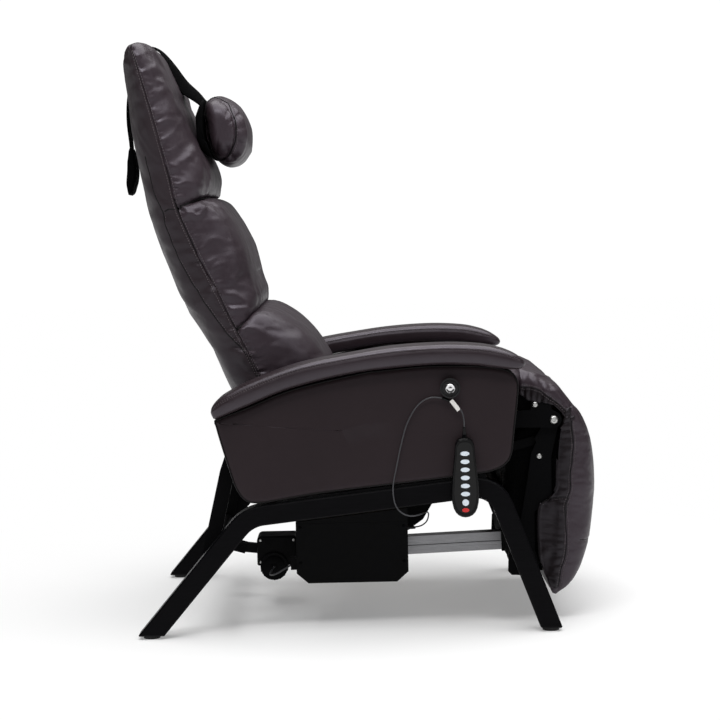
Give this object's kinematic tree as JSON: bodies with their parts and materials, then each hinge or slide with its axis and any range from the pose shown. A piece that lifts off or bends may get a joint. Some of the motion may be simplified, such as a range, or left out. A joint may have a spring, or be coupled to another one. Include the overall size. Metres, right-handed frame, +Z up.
{
  "type": "massage chair",
  "caption": "Zero-gravity recliner on bent-wood side frames: padded arms, tilting seat with linked back and leg rest driven by a linear actuator, head pillow and hooked hand control.",
  "frame": {"origin": "on the floor under the middle of the chair's outline", "axes": "+X to the front, +Y to the sitter's left, +Z up"},
  "size_m": [0.977, 0.752, 1.216],
  "materials": {
    "leather": "very dark brown polyurethane leather, soft grain, double-stitched",
    "wood": "bent laminated wood, black satin lacquer",
    "plywood": "bare plywood",
    "steel": "black powder-coated steel",
    "box_metal": "matte dark grey powder coat",
    "aluminium": "extruded, satin",
    "rubber": "matte black",
    "black_plastic": "black, satin",
    "gloss_black": "high-gloss black",
    "white_plastic": "pale blue-white",
    "red_plastic": "red",
    "silver": "bright cap",
    "board": "green circuit board",
    "webbing": "black webbing"
  },
  "bodies": {
    "base": {"side_frame_right": "wood", "side_frame_left": "wood", "foot_front_right": "rubber", "foot_front_left": "rubber", "foot_rear_right": "rubber", "foot_rear_left": "rubber", "remote_hook": "rubber", "remote_cord": "rubber", "motor_cable": "rubber", "arm_panel_right": "leather", "arm_panel_left": "leather", "arm_pad_right": "leather", "arm_pad_left": "leather", "pivot_plate_right": "steel", "pivot_plate_left": "steel", "front_cross_tube": "steel", "rear_cross_frame": "steel", "control_box": "box_metal", "control_box_lid": "box_metal", "actuator_motor": "box_metal", "control_board": "board", "power_inlet": "black_plastic", "rail_end_cap": "black_plastic", "actuator_rail": "aluminium", "remote_hook_cap": "silver"},
    "seat": {"seat_frame": "steel", "seat_board": "plywood", "seat_cushion": "leather", "seat_vibration_motor": "box_metal", "knee_roll": "leather", "drive_lever": "steel"},
    "backrest": {"back_frame": "steel", "back_shell": "leather", "head_pad": "leather", "middle_pad": "leather", "lumbar_pad": "leather", "upper_massage_motor": "box_metal", "lumbar_massage_motor": "box_metal"},
    "pillow": {"head_pillow": "leather", "pillow_strap_front": "webbing"},
    "counterweight": {"pillow_counterweight": "webbing", "pillow_strap_rear": "webbing"},
    "legrest": {"legrest_frame": "steel", "calf_pad": "leather", "foot_pad": "leather"},
    "push_rods": {"push_rod_right": "steel", "push_rod_left": "steel"},
    "carriage": {"actuator_carriage": "steel"},
    "handset": {"handset_case": "black_plastic", "handset_face": "gloss_black", "handset_cord": "rubber"},
    "button_recline_up": {"button_recline_up": "white_plastic"},
    "button_recline_down": {"button_recline_down": "white_plastic"},
    "button_back_massage": {"button_back_massage": "white_plastic"},
    "button_seat_massage": {"button_seat_massage": "white_plastic"},
    "button_heat": {"button_heat": "white_plastic"},
    "button_intensity": {"button_intensity": "white_plastic"},
    "button_light": {"button_light": "white_plastic"},
    "button_power": {"button_power": "red_plastic"}
  },
  "joints": [
    {"name": "seat_tilt", "type": "hinge", "parent": "base", "child": "seat", "pos_m": [0.085, 0, 0.365], "axis": [0, -1, 0], "range_deg": [0, 18]},
    {"name": "back_recline", "type": "hinge", "parent": "seat", "child": "backrest", "pos_m": [-0.15, 0, 0.345], "axis": [0, -1, 0], "range_deg": [0, 22]},
    {"name": "legrest_lift", "type": "hinge", "parent": "seat", "child": "legrest", "pos_m": [0.402, 0, 0.42], "axis": [0, -1, 0], "range_deg": [0, 52], "deforming": ["knee_roll"]},
    {"name": "push_rod_pivot", "type": "hinge", "parent": "backrest", "child": "push_rods", "pos_m": [-0.18899, 0, 0.23788], "axis": [0, -1, 0], "range_deg": [-22.1, 0]},
    {"name": "carriage_slide", "type": "slide", "parent": "base", "child": "carriage", "axis": [0.9994, 0, 0.0349], "range_m": [0, 0.06666]},
    {"name": "pillow_slide", "type": "slide", "parent": "backrest", "child": "pillow", "axis": [-0.438, 0, 0.899], "range_m": [-0.05, 0.03], "deforming": ["pillow_strap_front"]},
    {"name": "counterweight_slide", "type": "slide", "parent": "backrest", "child": "counterweight", "axis": [0, 0, 1], "range_m": [-0.0301, 0.0501], "deforming": ["pillow_strap_rear"]},
    {"name": "handset_swing", "type": "hinge", "parent": "base", "child": "handset", "pos_m": [0.2125, -0.363, 0.433], "axis": [0, -1, 0], "range_deg": [-10, 25]},
    {"name": "button_recline_up_press", "type": "slide", "parent": "handset", "child": "button_recline_up", "axis": [0, 1, 0], "range_m": [0, 0.0012], "stiffness_N_per_m": 300, "springref_m": -0.0005},
    {"name": "button_recline_down_press", "type": "slide", "parent": "handset", "child": "button_recline_down", "axis": [0, 1, 0], "range_m": [0, 0.0012], "stiffness_N_per_m": 300, "springref_m": -0.0005},
    {"name": "button_back_massage_press", "type": "slide", "parent": "handset", "child": "button_back_massage", "axis": [0, 1, 0], "range_m": [0, 0.0012], "stiffness_N_per_m": 300, "springref_m": -0.0005},
    {"name": "button_seat_massage_press", "type": "slide", "parent": "handset", "child": "button_seat_massage", "axis": [0, 1, 0], "range_m": [0, 0.0012], "stiffness_N_per_m": 300, "springref_m": -0.0005},
    {"name": "button_heat_press", "type": "slide", "parent": "handset", "child": "button_heat", "axis": [0, 1, 0], "range_m": [0, 0.0012], "stiffness_N_per_m": 300, "springref_m": -0.0005},
    {"name": "button_intensity_press", "type": "slide", "parent": "handset", "child": "button_intensity", "axis": [0, 1, 0], "range_m": [0, 0.0012], "stiffness_N_per_m": 300, "springref_m": -0.0005},
    {"name": "button_light_press", "type": "slide", "parent": "handset", "child": "button_light", "axis": [0, 1, 0], "range_m": [0, 0.0012], "stiffness_N_per_m": 300, "springref_m": -0.0005},
    {"name": "button_power_press", "type": "slide", "parent": "handset", "child": "button_power", "axis": [0, 1, 0], "range_m": [0, 0.0012], "stiffness_N_per_m": 300, "springref_m": -0.0005}
  ],
  "couplings": [
    {"joint": "back_recline", "follows": "seat_tilt", "ratio": 1.2222},
    {"joint": "legrest_lift", "follows": "seat_tilt", "ratio": 2.8889},
    {"joint": "push_rod_pivot", "follows": "seat_tilt", "ratio": -1.2267},
    {"joint": "carriage_slide", "follows": "seat_tilt", "m_per_rad": 0.21213},
    {"joint": "counterweight_slide", "follows": "pillow_slide", "ratio": -1}
  ]
}
